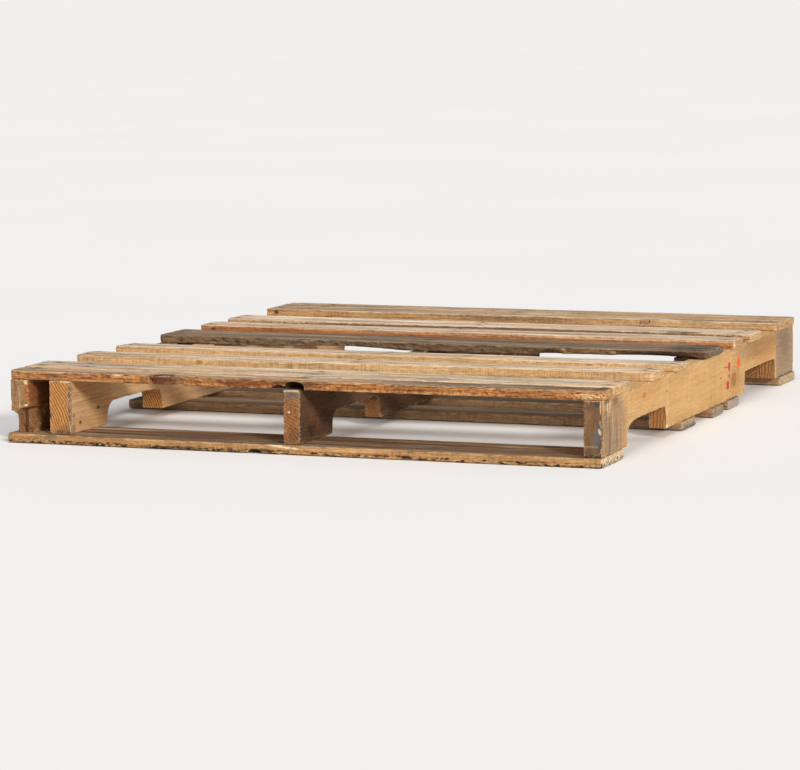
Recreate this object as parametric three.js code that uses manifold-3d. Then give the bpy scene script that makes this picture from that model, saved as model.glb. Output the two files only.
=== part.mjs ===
// A used four-way wooden stringer pallet of the 48 x 40 inch class, in millimetres with +Z up.
// X runs along the deck boards, Y runs along the stringers from the front end to the rear end,
// and Z is height above the floor. The layout is drawn from the front left corner of the frame
// and is centred on its own box at the end, with the underside of the bottom boards at Z = 0.

import * as THREE from "three";
import { mergeVertices } from "three/addons/utils/BufferGeometryUtils.js";
import Module from "manifold-3d";

const wasm = await Module();
wasm.setup();

// ---- Driving dimensions ----

const stringerLength = 1219;
const stringerHeight = 88;
const boardLength = 1022;
const boardThickness = 16;
const thickStock = 38;
const thinStock = 29;

// A stringer has two fork notches in its lower edge, the same distance in from each end.
const notchInset = 139;
const notchLength = 219;
const notchDepth = 38;
const notchRadius = 24;

const stringerEase = 1.5;
const boardEase = 1.2;

const nailLength = 57;
const nailRadius = 1.5;
const nailTip = 4;
const nailHeadRadius = 3.6;
const nailHeadHeight = 1.2;
const nailSink = 0.3;
const nailSides = 8;
const nailClearance = 0.35;
const nailStagger = 9;

const bottomLevel = 0;
const stringerLevel = boardThickness;
const topLevel = boardThickness + stringerHeight;
const deckLevel = topLevel + boardThickness;

// ---- Piece lists ----

// left is the distance of the left face from the frame's left side, start is the distance of the
// front end from the frame's front, and both notches fall where the full stringers have theirs.
const stringers = {
  left: { name: "stringer_left", left: 0, thickness: thickStock, start: 0, colour: 0xa98357 },
  repair: { name: "repair_stringer_left", left: 71, thickness: thickStock, start: 0, colour: 0xcfa56e },
  centre: { name: "stringer_centre", left: 486, thickness: thinStock, start: 0, colour: 0xa5835a },
  half: {
    name: "half_stringer_right",
    left: 957,
    thickness: thinStock,
    start: stringerLength / 2,
    colour: 0xb08c5e,
  },
  right: { name: "stringer_right", left: 987, thickness: thinStock, start: 0, colour: 0xd9b37a },
};

// start is the distance of the front edge, at the board's left end, from the frame's front.
// skew is how much further back the right end lies. left is where the board's left end lies.
const topBoards = [
  { name: "top_lead_board_front", start: 2, width: 54, skew: 2, left: -3, colour: 0xc08b4f },
  { name: "top_lead_board_rear", start: 57, width: 92, skew: 5, left: -5, colour: 0xb59a76 },
  { name: "top_board_2", start: 242, width: 66, skew: 26, left: 0, colour: 0xc9ac7d },
  { name: "top_board_3", start: 392, width: 80, skew: 14, left: 1, colour: 0xc4a678 },
  { name: "top_board_4", start: 574, width: 108, skew: 14, left: 2, colour: 0x6d6257 },
  { name: "top_board_5", start: 761, width: 72, skew: 2, left: 0, colour: 0xc79a5e },
  { name: "top_board_6", start: 882, width: 84, skew: -10, left: 2, colour: 0xcdb083 },
  { name: "top_board_7", start: 1079, width: 138, skew: -4, left: -1, colour: 0xa89067 },
];

const bottomBoards = [
  { name: "bottom_lead_board_front", start: -9, width: 121, skew: 2, left: -3, colour: 0xb08a58 },
  { name: "bottom_board_2", start: 452, width: 80, skew: -4, left: -2, colour: 0x8f8878 },
  { name: "bottom_board_3", start: 619, width: 70, skew: 3, left: 2, colour: 0x9b8d74 },
  { name: "bottom_board_4", start: 730, width: 75, skew: 5, left: -1, colour: 0xa79a82 },
  { name: "bottom_lead_board_rear", start: 1103, width: 112, skew: -3, left: 0, colour: 0xb79c72 },
];

// Every board is nailed to the three main stringers, apart from bottom_board_2, whose left end
// crosses the torn stretch of the left stringer. The last rows hold the two repair stringers.
const mainStringers = [stringers.left, stringers.centre, stringers.right];
const nailedTo = new Map(
  [...topBoards, ...bottomBoards].map((board) => [board.name, [...mainStringers]]),
);
nailedTo.get("bottom_board_2")[0] = stringers.repair;
nailedTo.get("top_lead_board_rear").push(stringers.repair);
nailedTo.get("top_board_7").push(stringers.repair, stringers.half);

// The left stringer is torn away below the grain line behind its front notch, and its front end
// has lost its lower corner.
const tornStretchEnd = 600;
const tornStretchDepth = 27;
const tornStretchEndDepth = 15;
const brokenEndHeight = 31;
const brokenEndLength = 34;
const brokenEndSlope = 3;

// Chips in the boards' edges: x is measured along the frame, y from the board's front edge and z
// from its underside, and the radii are those of the ellipsoid that the chip follows.
const chips = [
  { board: "top_lead_board_front", x: 503, y: 0, z: 0, radii: [17, 20, 13] },
  { board: "top_lead_board_front", x: 473, y: 0, z: 0, radii: [11, 9, 7] },
  { board: "bottom_lead_board_front", x: 438, y: 0, z: 0, radii: [12, 7, 6] },
  { board: "top_board_4", x: 118, y: 0, z: 0, radii: [70, 12, 11] },
  { board: "top_board_4", x: 402, y: 0, z: 0, radii: [120, 14, 12] },
  { board: "top_board_4", x: 690, y: 0, z: 0, radii: [95, 11, 10] },
];
const chipSegments = [12, 8];

// ---- Geometry helpers ----

// A closed solid that can be cut, from any closed three.js geometry.
function solidFrom(geometry) {
  const bare = geometry.clone();
  bare.deleteAttribute("normal");
  bare.deleteAttribute("uv");
  const merged = mergeVertices(bare);
  return new wasm.Manifold(
    new wasm.Mesh({
      numProp: 3,
      vertProperties: merged.attributes.position.array,
      triVerts: new Uint32Array(merged.index.array),
    }),
  );
}

// The geometry of a solid, ready for a mesh.
function geometryFrom(solid) {
  const cut = solid.getMesh();
  const geometry = new THREE.BufferGeometry();
  geometry.setAttribute("position", new THREE.BufferAttribute(cut.vertProperties, 3));
  geometry.setIndex(new THREE.BufferAttribute(cut.triVerts, 1));
  geometry.computeVertexNormals();
  return geometry;
}

// A sawn piece of the given outline, with its edges eased and its outer size kept.
function sawnPiece(outline, thickness, ease) {
  const geometry = new THREE.ExtrudeGeometry(outline, {
    depth: thickness - 2 * ease,
    bevelThickness: ease,
    bevelSize: ease,
    bevelOffset: -ease,
    bevelSegments: 1,
    curveSegments: 4,
  });
  return geometry.translate(0, 0, ease);
}

function wood(colour) {
  const look = { color: colour, roughness: 0.85, metalness: 0, flatShading: true };
  return new THREE.MeshStandardMaterial(look);
}

function rustedSteel() {
  const look = { color: 0x5b4334, roughness: 0.6, metalness: 0.7, flatShading: true };
  return new THREE.MeshStandardMaterial(look);
}

// ---- Nails ----

// A nail with its head's top at the origin and its point down, grown by the clearance of its hole.
// The hole's mouth stands above the head, so that it opens through the board's face.
function nailGeometry(grow, mouth) {
  const profile = [
    new THREE.Vector2(0, -nailLength - grow),
    new THREE.Vector2(nailRadius + grow, nailTip - nailLength),
    new THREE.Vector2(nailRadius + grow, -nailHeadHeight - grow),
    new THREE.Vector2(nailHeadRadius + grow, -nailHeadHeight - grow),
    new THREE.Vector2(nailHeadRadius + grow, mouth),
    new THREE.Vector2(0, mouth),
  ];
  return new THREE.LatheGeometry(profile, nailSides).rotateX(Math.PI / 2);
}

// How far back a board's centre line lies where it crosses the given distance along the frame.
function centreLine(board, x) {
  return board.start + board.width / 2 + (board.skew * (x - board.left)) / boardLength;
}

// One nail for each crossing of a board and a stringer: a top nail points down from the deck
// face, and a bottom nail points up from the underside.
function nailsOf(board, index, fromTop) {
  return nailedTo.get(board.name).map((stringer, crossing) => {
    const x = stringer.left + stringer.thickness / 2;
    const side = (index + crossing) % 2 ? 1 : -1;
    const nail = new THREE.Mesh(nailGeometry(0, 0), rustedSteel());
    nail.name = `nail_${board.name}_${stringer.name}`;
    nail.rotation.x = fromTop ? 0 : Math.PI;
    nail.position.set(
      x,
      centreLine(board, x) + side * nailStagger,
      fromTop ? deckLevel - nailSink : bottomLevel + nailSink,
    );
    nail.userData = { board: board.name, stringer: stringer.name };
    return nail;
  });
}

const nails = [
  ...topBoards.flatMap((board, index) => nailsOf(board, index, true)),
  ...bottomBoards.flatMap((board, index) => nailsOf(board, index, false)),
];

// The solid with a clearance hole for each of the nails, in the frame of the mesh that it is for.
function drilled(solid, mesh, ownNails) {
  mesh.updateMatrix();
  const toLocal = mesh.matrix.clone().invert();
  return ownNails.reduce((drilledSoFar, nail) => {
    nail.updateMatrix();
    const hole = nailGeometry(nailClearance, nailSink + nailHeadHeight);
    hole.applyMatrix4(nail.matrix).applyMatrix4(toLocal);
    return drilledSoFar.subtract(solidFrom(hole));
  }, solid);
}

// ---- Deck boards ----

function boardOutline(board) {
  const halfLength = boardLength / 2;
  const halfWidth = board.width / 2;
  return new THREE.Shape([
    new THREE.Vector2(-halfLength, -halfWidth),
    new THREE.Vector2(halfLength, -halfWidth),
    new THREE.Vector2(halfLength, halfWidth),
    new THREE.Vector2(-halfLength, halfWidth),
  ]);
}

function chipGeometry(chip, board) {
  return new THREE.SphereGeometry(1, ...chipSegments)
    .rotateX(Math.PI / 2)
    .scale(...chip.radii)
    .translate(chip.x - board.left - boardLength / 2, chip.y - board.width / 2, chip.z);
}

function makeBoard(board, level) {
  const mesh = new THREE.Mesh(undefined, wood(board.colour));
  const middle = board.left + boardLength / 2;
  mesh.name = board.name;
  mesh.position.set(middle, centreLine(board, middle), level);
  mesh.rotation.z = Math.atan2(board.skew, boardLength);
  let solid = solidFrom(sawnPiece(boardOutline(board), boardThickness, boardEase));
  for (const chip of chips.filter((one) => one.board === board.name)) {
    solid = solid.subtract(solidFrom(chipGeometry(chip, board)));
  }
  const ownNails = nails.filter((nail) => nail.userData.board === board.name);
  mesh.geometry = geometryFrom(drilled(solid, mesh, ownNails));
  return mesh;
}

// ---- Stringers ----

// The lower edge of one notch, drawn from its front to its rear, with rounded upper corners.
function drawNotch(outline, front, rear) {
  const arcLevel = notchDepth - notchRadius;
  outline.lineTo(front, 0);
  outline.lineTo(front, arcLevel);
  outline.absarc(front + notchRadius, arcLevel, notchRadius, Math.PI, Math.PI / 2, true);
  outline.lineTo(rear - notchRadius, notchDepth);
  outline.absarc(rear - notchRadius, arcLevel, notchRadius, Math.PI / 2, 0, true);
  outline.lineTo(rear, 0);
}

// The front notch of the left stringer, which runs on into the torn stretch behind it.
function drawTornNotch(outline, front, rear) {
  const arcLevel = notchDepth - notchRadius;
  outline.lineTo(front, 0);
  outline.lineTo(front, arcLevel);
  outline.absarc(front + notchRadius, arcLevel, notchRadius, Math.PI, Math.PI / 2, true);
  outline.lineTo(rear, notchDepth);
  outline.lineTo(rear + notchRadius, tornStretchDepth);
  outline.lineTo(tornStretchEnd - notchRadius, tornStretchEndDepth);
  outline.lineTo(tornStretchEnd, 0);
}

// A stringer's side view: its length runs along the outline's x and its height along y.
function stringerOutline(stringer) {
  const isBroken = stringer === stringers.left;
  const length = stringerLength - stringer.start;
  const outline = new THREE.Shape();
  outline.moveTo(0, stringerHeight);
  if (isBroken) {
    outline.lineTo(0, brokenEndHeight);
    outline.lineTo(brokenEndLength, brokenEndHeight - brokenEndSlope);
    outline.lineTo(brokenEndLength, 0);
  } else {
    outline.lineTo(0, 0);
  }
  const frontNotch = notchInset - stringer.start;
  const rearNotch = stringerLength - notchInset - notchLength - stringer.start;
  if (frontNotch > 0) {
    (isBroken ? drawTornNotch : drawNotch)(outline, frontNotch, frontNotch + notchLength);
  }
  drawNotch(outline, rearNotch, rearNotch + notchLength);
  outline.lineTo(length, 0);
  outline.lineTo(length, stringerHeight);
  return outline;
}

function makeStringer(stringer) {
  const mesh = new THREE.Mesh(undefined, wood(stringer.colour));
  mesh.name = stringer.name;
  mesh.position.set(stringer.left, stringer.start, stringerLevel);
  const sideways = new THREE.Matrix4().makeBasis(
    new THREE.Vector3(0, 1, 0),
    new THREE.Vector3(0, 0, 1),
    new THREE.Vector3(1, 0, 0),
  );
  const piece = sawnPiece(stringerOutline(stringer), stringer.thickness, stringerEase);
  const solid = solidFrom(piece.applyMatrix4(sideways));
  const ownNails = nails.filter((nail) => nail.userData.stringer === stringer.name);
  mesh.geometry = geometryFrom(drilled(solid, mesh, ownNails));
  return mesh;
}

// ---- Assembly ----

function groupOf(meshes) {
  const group = new THREE.Group();
  group.add(...meshes);
  return group;
}

const frame = groupOf([
  groupOf(Object.values(stringers).map(makeStringer)),
  groupOf(topBoards.map((board) => makeBoard(board, topLevel))),
  groupOf(bottomBoards.map((board) => makeBoard(board, bottomLevel))),
  groupOf(nails),
]);

const box = new THREE.Box3().setFromObject(frame, true);
const middle = box.getCenter(new THREE.Vector3());
frame.position.set(-middle.x, -middle.y, -box.min.z);

const pallet = groupOf([frame]);

export default pallet;
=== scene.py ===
import functools
import itertools
import math

import bpy
import numpy as np
from mathutils import Matrix, Quaternion, Vector


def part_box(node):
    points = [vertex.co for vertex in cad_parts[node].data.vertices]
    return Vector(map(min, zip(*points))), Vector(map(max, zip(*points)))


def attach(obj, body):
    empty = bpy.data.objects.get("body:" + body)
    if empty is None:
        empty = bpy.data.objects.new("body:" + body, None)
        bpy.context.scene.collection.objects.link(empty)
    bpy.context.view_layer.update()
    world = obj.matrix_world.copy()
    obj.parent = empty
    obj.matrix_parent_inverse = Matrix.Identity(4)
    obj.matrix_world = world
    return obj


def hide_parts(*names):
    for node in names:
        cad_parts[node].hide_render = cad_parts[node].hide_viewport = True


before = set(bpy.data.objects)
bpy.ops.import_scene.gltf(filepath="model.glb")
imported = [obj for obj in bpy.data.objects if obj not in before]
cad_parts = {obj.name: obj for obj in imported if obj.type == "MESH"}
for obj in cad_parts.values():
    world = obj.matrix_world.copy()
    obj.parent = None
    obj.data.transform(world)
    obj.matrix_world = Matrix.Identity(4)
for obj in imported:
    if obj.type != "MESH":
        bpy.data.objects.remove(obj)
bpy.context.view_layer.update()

# Lengths are in millimetres, and turn into metres only in the meshes and on the shader sockets.
# Colours are display values, 0xRRGGBB.
MM = 0.001


# ---------------------------------------------------------------- noise and small maths

NOISE_TABLE = 4096
NOISE_PRIMES = (73856093, 19349663, 83492791)
NEAR_REPEAT = 0.35


def value_noise(seed, *coords):
    """Smooth noise between -1 and 1 at the points given by one to three coordinate arrays."""
    table = np.random.default_rng(seed).uniform(-1, 1, NOISE_TABLE)
    coords = np.broadcast_arrays(*coords)
    cells = [np.floor(c).astype(np.int64) for c in coords]
    smooth = [(c - n) ** 2 * (3 - 2 * (c - n)) for c, n in zip(coords, cells)]
    total = 0.0
    for corner in itertools.product((0, 1), repeat=len(coords)):
        index = np.zeros(coords[0].shape, np.int64)
        weight = 1.0
        for step, cell, s, prime in zip(corner, cells, smooth, NOISE_PRIMES):
            index ^= (cell + step) * prime
            weight = weight * (s if step else 1 - s)
        total = total + weight * table[index % NOISE_TABLE]
    return total


def rough_noise(seed, octaves, *coords):
    """Value noise with finer octaves added, each half as strong as the one before."""
    return sum(value_noise(seed + n, *[c * 2**n for c in coords]) / 2**n for n in range(octaves))


def smoothstep(low, high, x):
    t = np.clip((x - low) / (high - low), 0, 1)
    return t * t * (3 - 2 * t)


def fading(distance, reach):
    """From 1 at no distance straight down to 0 at the reach and beyond it."""
    return np.clip(1 - distance / reach, 0, 1)


def spaced(low, high, step):
    return np.linspace(low, high, max(2, round((high - low) / step) + 1))


def merged_places(low, high, *groups):
    """All the groups' places that lie from low to high, in order, with near-repeats dropped."""
    places = np.unique(np.clip(np.concatenate([np.asarray(g, float) for g in groups]), low, high))
    keep = [places[0]]
    for p in places[1:]:
        if p - keep[-1] > NEAR_REPEAT:
            keep.append(p)
    keep[-1] = high
    return np.array(keep)


# ---------------------------------------------------------------- box grids

EDGE_ROWS = np.array([0, 0.5, 1.1, 2.0, 3.2])
EDGE_BAND = 5
TINY = 1e-6
SMOOTH_ANGLE = math.radians(48)


def rows(extent, step, *extra):
    """Cuts from 0 to the extent, finer at both ends and wherever the extra places ask."""
    return merged_places(0, extent, spaced(0, extent, step), EDGE_ROWS, extent - EDGE_ROWS, *extra)


class Grid:
    """The surface points of a box cut at the places us along it, vs across it and ws through it."""

    def __init__(self, us, vs, ws):
        shape = (len(us), len(vs), len(ws))
        inside = np.zeros(shape, bool)
        inside[1:-1, 1:-1, 1:-1] = True
        self.i, self.j, self.k = np.nonzero(~inside)
        ids = np.full(shape, -1)
        ids[self.i, self.j, self.k] = np.arange(len(self.i))
        self.u, self.v, self.w = us[self.i], vs[self.j], ws[self.k]
        sides = [ids[:, :, 0].T, ids[:, :, -1], ids[:, 0, :], ids[:, -1, :].T, ids[0].T, ids[-1]]
        self.faces = np.concatenate([self.quads(side) for side in sides])

    @staticmethod
    def quads(side):
        corners = (side[:-1, :-1], side[1:, :-1], side[1:, 1:], side[:-1, 1:])
        return np.stack([c.ravel() for c in corners], 1)


def face_gaps(places, size):
    """How far each point lies from the nearer of the box's two faces, for each axis."""
    return [np.minimum(p, extent - p) for p, extent in zip(places, size)]


def edge_share(places, size):
    """1 on the box's arrises, falling to 0 at a band's width from them."""
    return fading(np.sort(np.stack(face_gaps(places, size)), 0)[1], EDGE_BAND)


def rounded(places, size, radius, plan=False):
    """The box with its arrises worn round to a radius at each point, or its plan corners.

    In plan, the points inside a corner are spread to fill it.
    """
    gaps = face_gaps(places, size)
    insets = [np.maximum(radius - gap, 0) for gap in gaps]
    total = np.maximum(np.sqrt(sum(inset**2 for inset in insets)), TINY)
    if plan:
        scale = np.where(np.minimum(*insets) > 0, np.maximum(*insets) / total, 1.0)
    else:
        scale = np.where(total > radius, radius / total, 1.0)
    moved = []
    for place, extent, gap, inset in zip(places, size, gaps, insets):
        new_gap = np.where(inset > 0, radius - inset * scale, gap)
        moved.append(np.where(place < extent / 2, new_gap, extent - new_gap))
    return moved


def new_object(name, data):
    made = bpy.data.objects.new(name, data)
    bpy.context.scene.collection.objects.link(made)
    return made


def add_piece(node, suffix, points, faces, attributes, material):
    """The visual piece of a CAD node: a mesh with named attributes, smooth but for sharp edges."""
    name = node + suffix
    mesh = bpy.data.meshes.new(name)
    mesh.from_pydata((points * MM).tolist(), [], faces)
    for key, values in attributes.items():
        kind, field = ("FLOAT_VECTOR", "vector") if values.ndim == 2 else ("FLOAT", "value")
        layer = mesh.attributes.new(key, kind, "POINT")
        layer.data.foreach_set(field, np.ascontiguousarray(values, np.float32).ravel())
    mesh.polygons.foreach_set("use_smooth", np.ones(len(mesh.polygons), bool))
    mesh.set_sharp_from_angle(angle=SMOOTH_ANGLE)
    mesh.materials.append(material)
    mesh.update()
    piece = new_object(name, mesh)
    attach(piece, "root")
    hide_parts(node)


# ---------------------------------------------------------------- shader helper


class Shader:
    """A node material built by calls that return the socket to use next."""

    def __init__(self, name):
        self.material = bpy.data.materials.new(name)
        self.material.use_nodes = True
        self.tree = self.material.node_tree

    def put(self, socket, value):
        if isinstance(value, bpy.types.NodeSocket):
            self.tree.links.new(value, socket)
        else:
            socket.default_value = value

    def fill(self, node, inputs):
        for name, value in inputs.items():
            self.put(node.inputs[name], value)

    def surface(self, inputs):
        """Fills the surface shader's named inputs, and returns the finished material."""
        self.fill(self.tree.nodes["Principled BSDF"], inputs)
        return self.material

    def node(self, kind, *inputs, **settings):
        made = self.tree.nodes.new(kind)
        for key, value in settings.items():
            setattr(made, key, value)
        for place, value in enumerate(inputs):
            self.put(made.inputs[place], value)
        return made

    def attribute(self, name, output="Fac"):
        return self.node("ShaderNodeAttribute", attribute_name=name).outputs[output]

    def coordinate(self, output):
        return self.node("ShaderNodeTexCoord").outputs[output]

    def split(self, vector):
        return self.node("ShaderNodeSeparateXYZ", vector).outputs

    def math(self, operation, *values, clamp=False):
        made = self.node("ShaderNodeMath", *values, operation=operation, use_clamp=clamp)
        return made.outputs[0]

    def add(self, *values):
        return functools.reduce(lambda a, b: self.math("ADD", a, b), values)

    def multiply(self, *values, clamp=False):
        return functools.reduce(lambda a, b: self.math("MULTIPLY", a, b, clamp=clamp), values)

    def length(self, a, b):
        return self.math("SQRT", self.add(self.multiply(a, a), self.multiply(b, b)))

    def noise(self, vector, scales, detail, roughness, offset):
        """Noise with the given cells per metre along each axis. The offset tells it apart."""
        scaled = self.node("ShaderNodeVectorMath", vector, scales, operation="MULTIPLY").outputs[0]
        made = self.node("ShaderNodeTexNoise", noise_dimensions="4D")
        self.fill(made, {"Vector": scaled, "W": offset, "Scale": 1.0})
        self.fill(made, {"Detail": detail, "Roughness": roughness})
        return made.outputs["Fac"]

    def remap(self, value, low, high, to_low=0.0, to_high=1.0, smooth=True):
        made = self.node("ShaderNodeMapRange", value, low, high, to_low, to_high)
        made.interpolation_type = "SMOOTHSTEP" if smooth else "LINEAR"
        return made.outputs[0]

    def ramp(self, value, stops):
        made = self.node("ShaderNodeValToRGB", value)
        elements = made.color_ramp.elements
        while len(elements) < len(stops):
            elements.new(0.5)
        for element, (place, level) in zip(elements, stops):
            element.position = place
            element.color = (level, level, level, 1)
        return made.outputs[0]

    def mix(self, factor, a, b, blend="MIX"):
        made = self.node("ShaderNodeMix", data_type="RGBA", blend_type=blend)
        self.fill(made, {"Factor": factor, "A": linear(a), "B": linear(b)})
        return made.outputs["Result"]

    def darken(self, colour, factor):
        """The colour times a grey level."""
        grey = self.node("ShaderNodeCombineColor", factor, factor, factor).outputs[0]
        return self.mix(1.0, colour, grey, "MULTIPLY")

    def bump(self, height, distance, strength):
        """The surface normal over a height, whose full rise is the distance in millimetres."""
        made = self.node("ShaderNodeBump")
        self.fill(made, {"Strength": strength, "Distance": distance * MM, "Height": height})
        return made.outputs["Normal"]


def linear(colour):
    """A linear colour from a display value; sockets and linear colours pass through."""
    if not isinstance(colour, int):
        return colour
    levels = [(colour >> shift & 255) / 255 for shift in (16, 8, 0)]
    return (*[c / 12.92 if c <= 0.04045 else ((c + 0.055) / 1.055) ** 2.4 for c in levels], 1.0)


# ---------------------------------------------------------------- wood

# A near-black: painted shade in the cracks and in the chips of the front edges, and the real dark
# of knot rims and mould.
SHADE_AND_MARK_DARK = 0x22160E
RUST_STAIN = 0x3A261A
RING_STOPS = [(0, 0), (0.5, 0.12), (0.8, 0.75), (0.9, 1), (0.97, 0.25), (1, 0)]
RING_UNEVEN = 1.5
SAW_WARP = 12.0
KNOT_CIRCLES = 21
FACING = (0.4, 0.85)
# A notch's rear wall faces the front too, so a stringer's front patches fade out before it.
FRONT_END = (60 * MM, 80 * MM)

# Noise stretched along the grain: cells per metre along and across it, detail, roughness, and what
# is added to the piece's seed.
LAYERS = {
    "ring wander": (2.2, 14, 3, 0.55, 0),
    "ring swell": (0.3, 48, 1, 0.5, 3),
    "tint": (4, 14, 3, 0.6, 23),
    "saw bands": (230, 9, 3, 0.6, 29),
    "saw band places": (9, 9, 2, 0.5, 30),
    "weather": (2.6, 60, 6, 0.7, 31),
    "weather places": (3, 26, 3, 0.6, 37),
    "saw line warp": (22, 60, 2, 0.6, 73),
    "saw line gaps": (34, 90, 3, 0.7, 79),
    "streaks": (7, 150, 5, 0.68, 11),
    "fibres": (30, 380, 4, 0.75, 17),
    "grit": (110, 330, 3, 0.8, 19),
    "dark streaks": (5, 190, 4, 0.75, 41),
    "light streaks": (3, 70, 4, 0.75, 83),
    "smears": (4, 55, 5, 0.75, 43),
    "blots": (70, 240, 4, 0.75, 45),
    "knot ripple": (90, 90, 2, 0.5, 43),
    "patch edges": (140, 300, 4, 0.7, 47),
    "edge wear": (60, 260, 3, 0.65, 53),
    "mould": (95, 190, 4, 0.8, 59),
    "fine relief": (40, 1300, 3, 0.7, 61),
    "broad relief": (9, 260, 4, 0.65, 67),
    "sawn relief": (230, 12, 3, 0.6, 71),
}


class WoodShader(Shader):
    """A wood material: its look, its wood coordinate and masks for the ways its faces look."""

    def __init__(self, name, look):
        super().__init__(name)
        self.look = look
        self.wood = self.attribute("wood", "Vector")
        x, y, z = self.split(self.coordinate("Normal"))
        grain, side = (x, y) if look["grain"] == "x" else (y, x)
        facing = {"right": x, "front": self.multiply(y, -1), "up": z}
        self.masks = {way: self.remap(axis, *FACING) for way, axis in facing.items()}
        self.masks["end"] = self.remap(self.math("ABSOLUTE", grain), 0.55, 0.85)
        self.masks["side"] = self.remap(self.math("ABSOLUTE", side), 0.45, 0.85)
        if look["grain"] == "y":
            along = self.split(self.attribute("place", "Vector"))[0]
            at_end = self.remap(along, *FRONT_END, 1, 0)
            self.masks["front"] = self.multiply(self.masks["front"], at_end)

    def layer(self, name, *span, scales=None):
        """One of the LAYERS, remapped if a span is given: low, high and what they turn into."""
        along, across, detail, roughness, shift = LAYERS[name]
        scales, seed = scales or (along, across, across), self.look["seed"] + shift
        value = self.noise(self.wood, scales, detail, roughness, seed)
        return self.remap(value, *span) if span else value

    def tint(self, colour, amount, key):
        """The colour with one of the look's colours laid over it, by an amount."""
        return self.mix(amount, colour, self.look[key])


def ring_pattern(s):
    """Growth rings round the pith, which runs along the grain through the coordinate's origin."""
    _, across, through = s.split(s.wood)
    turns = s.add(
        s.multiply(s.length(across, through), 1 / (s.look["ring"] * MM)),
        s.multiply(s.layer("ring wander"), s.look["wander"]),
        s.multiply(s.layer("ring swell"), RING_UNEVEN),
    )
    return s.ramp(s.math("FRACT", turns), RING_STOPS)


def wood_colour(s, rings):
    """Bare wood, its end grain, broad saw bands on its sides, and grey weathering."""
    look, masks = s.look, s.masks
    colour = s.mix(s.multiply(rings, look["ring_contrast"]), look["early"], look["late"])
    colour = s.tint(colour, s.layer("tint", 0.36, 0.66, 0, look["tint_amount"]), "tint")
    colour = s.tint(colour, s.multiply(masks["end"], look["end_amount"]), "end")
    colour = s.tint(colour, s.multiply(rings, masks["end"], look["end_rings"]), "end_late")

    bands = s.layer("saw bands", 0.38, 0.72, 0, look["saw"])
    where = s.layer("saw band places", 0.35, 0.6, 0.15, 1.0)
    colour = s.tint(colour, s.multiply(bands, where, masks["side"]), "saw_colour")

    grey = s.mix(s.layer("weather", 0.34, 0.66), look["grey_dark"], look["grey_light"])
    amount = s.add(s.multiply(masks["up"], look["weather_up"]), look["weather_all"])
    where = s.layer("weather places", 0.3, 0.6, 0.35, 1.0)
    return s.mix(s.multiply(amount, where, clamp=True), colour, grey)


def add_saw_lines(s, colour):
    """Slanting marks of a band saw across the edges and faces, broken up and unevenly dark."""
    spacing, lean, amount = s.look["saw_lines"]
    if not amount:
        return colour
    along, across, through = s.split(s.wood)
    run = s.add(along, s.multiply(s.add(across, through), lean))
    warp = s.multiply(s.layer("saw line warp"), SAW_WARP)
    phase = s.add(s.multiply(run, 2 * math.pi / (spacing * MM)), warp)
    lines = s.remap(s.math("SINE", phase), 0.45, 0.95)
    broken = s.layer("saw line gaps", 0.46, 0.64)
    return s.tint(colour, s.multiply(lines, broken, s.masks["side"], amount), "saw_colour")


def add_grain(s, colour):
    """Light and dark fibres over everything below, then dark weathered streaks and blots."""
    look, masks = s.look, s.masks
    streaks = s.layer("streaks", 0.3, 0.7, 1 - look["contrast"], 1 + 0.55 * look["contrast"])
    fibres = s.layer("fibres", 0.3, 0.7, -look["fibre"], 0.85 * look["fibre"])
    grit = s.layer("grit", 0.3, 0.7, -look["grit"], look["grit"])
    calm = s.remap(masks["side"], 0, 1, 1, look["edge_grain"], smooth=False)
    level = s.multiply(s.add(streaks, fibres, grit, -1.0), calm)
    colour = s.darken(colour, s.add(level, 1.0))
    colour = add_saw_lines(s, colour)
    where = s.layer("tint", 0.3, 0.6, 0.25, 1.0)
    dark = s.multiply(s.layer("dark streaks", 0.58, 0.7), where, look["dark_streaks"])
    colour = s.tint(colour, dark, "streak_colour")
    light = s.multiply(s.layer("light streaks", 0.54, 0.64), masks["up"], look["light_streaks"])
    colour = s.tint(colour, light, "light_colour")
    smear = s.layer("smears", 0.54, 0.64, scales=look["smear_scale"])
    colour = s.tint(colour, s.multiply(smear, masks["up"], look["smear"]), "smear_colour")
    blots = s.multiply(s.layer("blots", 0.5, 0.6), masks["side"], look["mottle"])
    return s.tint(colour, blots, "saw_colour")


def add_knots(s, colour):
    """Dark ringed knots where the knot attribute, the distance in knot radii, falls below one."""
    reach = s.add(s.attribute("knot"), s.layer("knot ripple", 0.3, 0.7, -0.14, 0.14))
    colour = s.tint(colour, s.remap(reach, 0.9, 2.1, s.look["knot_halo"], 0), "knot_colour")
    circles = s.remap(s.math("SINE", s.multiply(reach, KNOT_CIRCLES)), -1, 1, 0.15, 0.75)
    core = s.mix(circles, s.look["knot_core"], s.look["knot_colour"])
    colour = s.mix(s.remap(reach, 0.8, 1.02, 1, 0), colour, core)
    rim = s.multiply(s.remap(reach, 0.82, 0.96), s.remap(reach, 0.98, 1.14, 1, 0), 0.75)
    return s.mix(rim, colour, SHADE_AND_MARK_DARK)


# The two axes of the place attribute that a patch's numbers run along, by grain and face, and the
# softness and lean of a patch that leaves them out.
PATCH_AXES = {
    "x": {"up": (0, 1), "front": (0, 2), "right": (1, 2)},
    "y": {"front": (2, 1), "right": (0, 1)},
}
PATCH_ENDING = [0.5, 0]


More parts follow.
